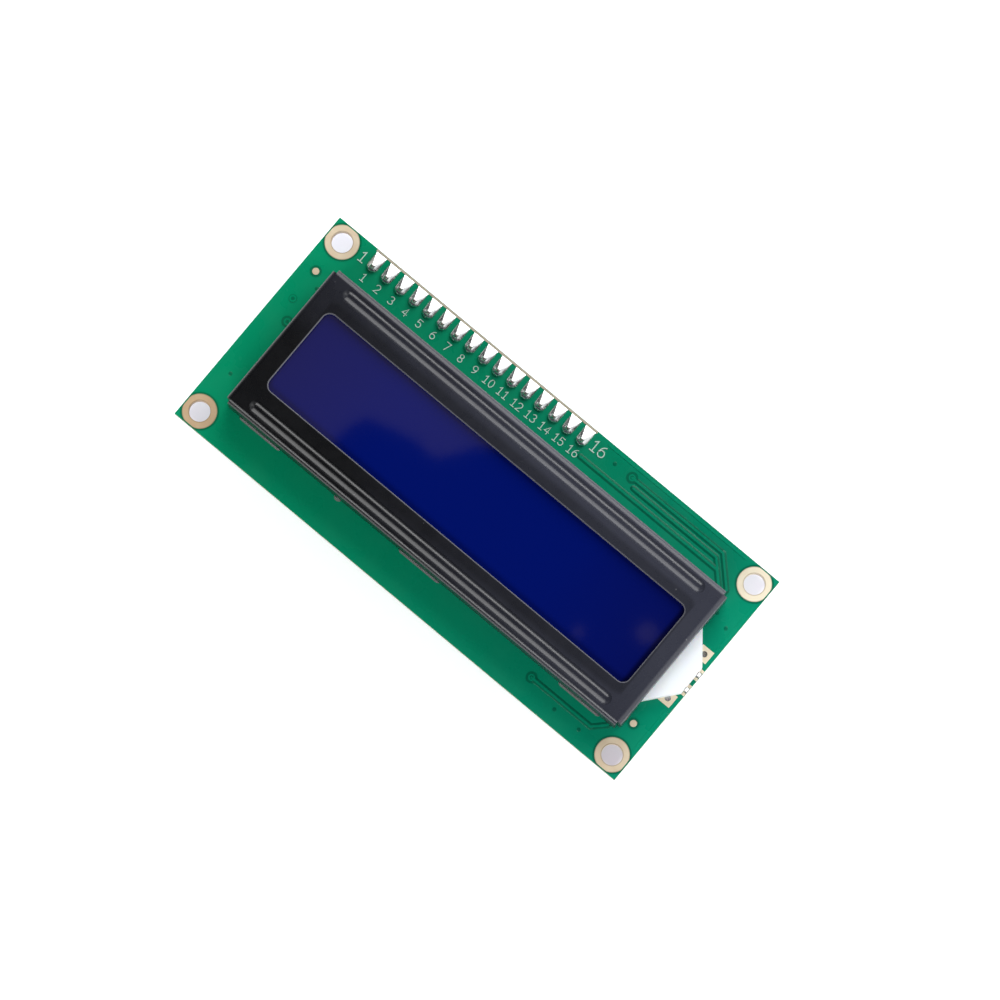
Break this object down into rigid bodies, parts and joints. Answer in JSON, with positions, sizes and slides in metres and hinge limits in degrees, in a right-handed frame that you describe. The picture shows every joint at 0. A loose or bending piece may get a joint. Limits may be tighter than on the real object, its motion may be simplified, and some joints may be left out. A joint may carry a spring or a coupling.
{
  "type": "character lcd module",
  "caption": "Character liquid crystal display module: green board with a black folded bezel in front and a serial adapter with contrast trimmer on its back.",
  "frame": {"origin": "centre of the four mounting holes, on the main board's front face", "axes": "+X along the board towards the header's last pin, +Y towards the header's edge, +Z out of the display"},
  "size_m": [0.08, 0.036, 0.0177],
  "materials": {
    "green_board": "solder mask gloss",
    "black_paint": "semi-gloss",
    "white_plastic": "satin",
    "clear_plastic": "gloss",
    "tinned_metal": "bright",
    "solder": "bright",
    "display_film": "gloss",
    "display_glass": "gloss",
    "contact_rubber": "matte",
    "black_epoxy": "satin",
    "resistor_ceramic": "satin",
    "capacitor_ceramic": "matte",
    "black_plastic": "satin",
    "black_board": "solder mask gloss",
    "chip_moulding": "matte",
    "led_resin": "gloss",
    "blue_plastic": "satin",
    "base_ceramic": "matte",
    "rotor_plastic": "satin"
  },
  "bodies": {
    "module": {"adapter_board": "black_board", "adapter_capacitor": "capacitor_ceramic", "adapter_resistors": "resistor_ceramic", "backlight_leads": "tinned_metal", "backlight_led": "white_plastic", "backlight_solder": "solder", "backlight_tray": "white_plastic", "bezel": "black_paint", "contact_strip_far_side": "contact_rubber", "contact_strip_header_side": "contact_rubber", "diffuser_film": "white_plastic", "driver_epoxy_left": "black_epoxy", "driver_epoxy_right": "black_epoxy", "expander_chip": "chip_moulding", "expander_leads": "tinned_metal", "front_glass": "display_glass", "front_polarizer": "display_film", "header_housing": "black_plastic", "header_pin_01": "tinned_metal", "header_pin_02": "tinned_metal", "header_pin_03": "tinned_metal", "header_pin_04": "tinned_metal", "header_pin_05": "tinned_metal", "header_pin_06": "tinned_metal", "header_pin_07": "tinned_metal", "header_pin_08": "tinned_metal", "header_pin_09": "tinned_metal", "header_pin_10": "tinned_metal", "header_pin_11": "tinned_metal", "header_pin_12": "tinned_metal", "header_pin_13": "tinned_metal", "header_pin_14": "tinned_metal", "header_pin_15": "tinned_metal", "header_pin_16": "tinned_metal", "header_solder_back": "solder", "header_solder_front": "solder", "light_guide": "clear_plastic", "link_solder": "solder", "main_board": "green_board", "main_resistors": "resistor_ceramic", "power_led": "led_resin", "rear_glass": "display_glass", "rear_polarizer": "display_film", "reflector_film": "white_plastic", "serial_housing": "black_plastic", "serial_pin_1": "tinned_metal", "serial_pin_2": "tinned_metal", "serial_pin_3": "tinned_metal", "serial_pin_4": "tinned_metal", "serial_solder": "solder", "solder_bridge": "solder", "transistor_body": "chip_moulding", "transistor_leads": "tinned_metal", "trimmer_base": "base_ceramic", "trimmer_housing": "blue_plastic", "trimmer_solder": "solder", "trimmer_terminals": "tinned_metal"},
    "rotor": {"trimmer_rotor": "rotor_plastic"}
  },
  "joints": [
    {"name": "trimmer_turn", "type": "hinge", "parent": "module", "child": "rotor", "pos_m": [-0.02295, 0.00733, -0.0102], "axis": [0, 0, -1], "range_deg": [-135, 135]}
  ]
}
